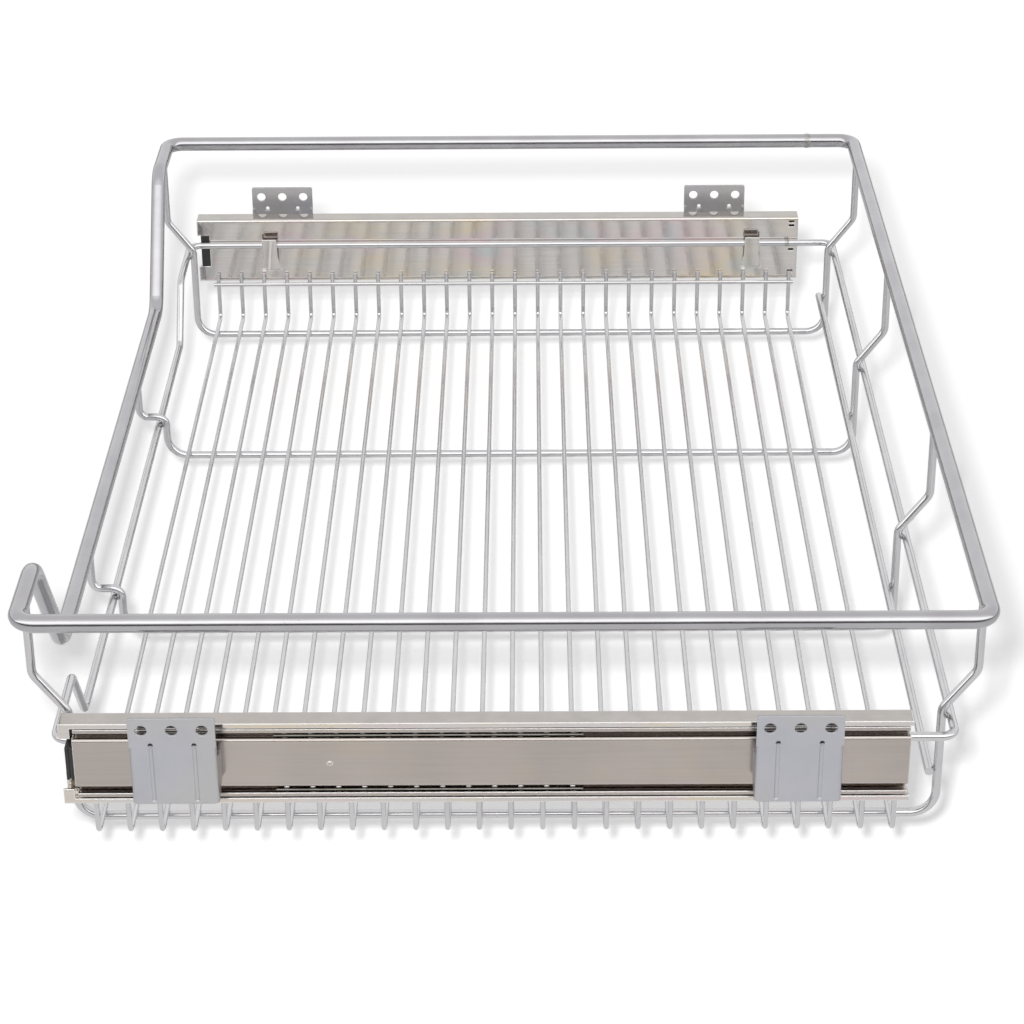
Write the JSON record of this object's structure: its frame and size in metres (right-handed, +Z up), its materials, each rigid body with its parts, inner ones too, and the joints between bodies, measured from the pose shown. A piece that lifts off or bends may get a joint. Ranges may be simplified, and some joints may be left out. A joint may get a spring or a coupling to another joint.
{
  "type": "pull-out cabinet basket",
  "caption": "Shallow chrome wire basket with a dipped front rim, hung by hooks on ball-bearing slides with screw-on wall brackets.",
  "frame": {"origin": "centre of the overall box in X and Y, at the underside of the four frame wires that the basket stands on (Z = 0)", "axes": "+X across the cabinet to the right as seen from the front, +Y to the back of the cabinet (the basket pulls out along -Y), +Z up"},
  "size_m": [0.764, 0.522, 0.149],
  "materials": {
    "rim_chrome": "bright chrome plate",
    "wire_chrome": "bright chrome plate",
    "slide_zinc": "zinc plated rolled steel",
    "bracket_zinc": "blue zinc plated pressed steel",
    "rivet_steel": "zinc plated",
    "cage_steel": "zinc plated thin strip",
    "ball_steel": "polished bearing steel",
    "bumper_plastic": "black moulded plastic"
  },
  "bodies": {
    "cabinet_rails": {"inner_channel_left": "slide_zinc", "inner_channel_right": "slide_zinc", "bracket_front_left": "bracket_zinc", "bracket_front_right": "bracket_zinc", "bracket_rear_left": "bracket_zinc", "bracket_rear_right": "bracket_zinc", "bracket_rivets_left": "rivet_steel", "bracket_rivets_right": "rivet_steel"},
    "basket": {"rim": "rim_chrome", "hanging_ring": "wire_chrome", "back_tie_wire": "wire_chrome", "side_tie_wire_left": "wire_chrome", "side_tie_wire_right": "wire_chrome", "frame_wire_1": "wire_chrome", "frame_wire_2": "wire_chrome", "frame_wire_3": "wire_chrome", "frame_wire_4": "wire_chrome", "cross_wire_01": "wire_chrome", "cross_wire_02": "wire_chrome", "cross_wire_03": "wire_chrome", "cross_wire_04": "wire_chrome", "cross_wire_05": "wire_chrome", "cross_wire_06": "wire_chrome", "cross_wire_07": "wire_chrome", "cross_wire_08": "wire_chrome", "cross_wire_09": "wire_chrome", "cross_wire_10": "wire_chrome", "cross_wire_11": "wire_chrome", "cross_wire_12": "wire_chrome", "cross_wire_13": "wire_chrome", "cross_wire_14": "wire_chrome", "cross_wire_15": "wire_chrome", "cross_wire_16": "wire_chrome", "cross_wire_17": "wire_chrome", "cross_wire_18": "wire_chrome", "cross_wire_19": "wire_chrome", "cross_wire_20": "wire_chrome", "cross_wire_21": "wire_chrome", "cross_wire_22": "wire_chrome", "cross_wire_23": "wire_chrome", "cross_wire_24": "wire_chrome", "cross_wire_25": "wire_chrome", "cross_wire_26": "wire_chrome", "outer_channel_left": "slide_zinc", "outer_channel_right": "slide_zinc", "bumper_left": "bumper_plastic", "bumper_right": "bumper_plastic"},
    "middle_slide_left": {"middle_channel_left": "slide_zinc"},
    "outer_ball_run_left": {"outer_cage_left": "cage_steel", "outer_balls_left": "ball_steel"},
    "inner_ball_run_left": {"inner_cage_left": "cage_steel", "inner_balls_left": "ball_steel"},
    "middle_slide_right": {"middle_channel_right": "slide_zinc"},
    "outer_ball_run_right": {"outer_cage_right": "cage_steel", "outer_balls_right": "ball_steel"},
    "inner_ball_run_right": {"inner_cage_right": "cage_steel", "inner_balls_right": "ball_steel"}
  },
  "joints": [
    {"name": "basket_slide", "type": "slide", "parent": "cabinet_rails", "child": "basket", "axis": [0, -1, 0], "range_m": [0, 0.43]},
    {"name": "middle_slide_left_travel", "type": "slide", "parent": "cabinet_rails", "child": "middle_slide_left", "axis": [0, -1, 0], "range_m": [0, 0.215]},
    {"name": "outer_ball_run_left_travel", "type": "slide", "parent": "cabinet_rails", "child": "outer_ball_run_left", "axis": [0, -1, 0], "range_m": [0, 0.3225]},
    {"name": "inner_ball_run_left_travel", "type": "slide", "parent": "cabinet_rails", "child": "inner_ball_run_left", "axis": [0, -1, 0], "range_m": [0, 0.1075]},
    {"name": "middle_slide_right_travel", "type": "slide", "parent": "cabinet_rails", "child": "middle_slide_right", "axis": [0, -1, 0], "range_m": [0, 0.215]},
    {"name": "outer_ball_run_right_travel", "type": "slide", "parent": "cabinet_rails", "child": "outer_ball_run_right", "axis": [0, -1, 0], "range_m": [0, 0.3225]},
    {"name": "inner_ball_run_right_travel", "type": "slide", "parent": "cabinet_rails", "child": "inner_ball_run_right", "axis": [0, -1, 0], "range_m": [0, 0.1075]}
  ],
  "couplings": [
    {"joint": "middle_slide_left_travel", "follows": "basket_slide", "ratio": 0.5},
    {"joint": "outer_ball_run_left_travel", "follows": "basket_slide", "ratio": 0.75},
    {"joint": "inner_ball_run_left_travel", "follows": "basket_slide", "ratio": 0.25},
    {"joint": "middle_slide_right_travel", "follows": "basket_slide", "ratio": 0.5},
    {"joint": "outer_ball_run_right_travel", "follows": "basket_slide", "ratio": 0.75},
    {"joint": "inner_ball_run_right_travel", "follows": "basket_slide", "ratio": 0.25}
  ]
}
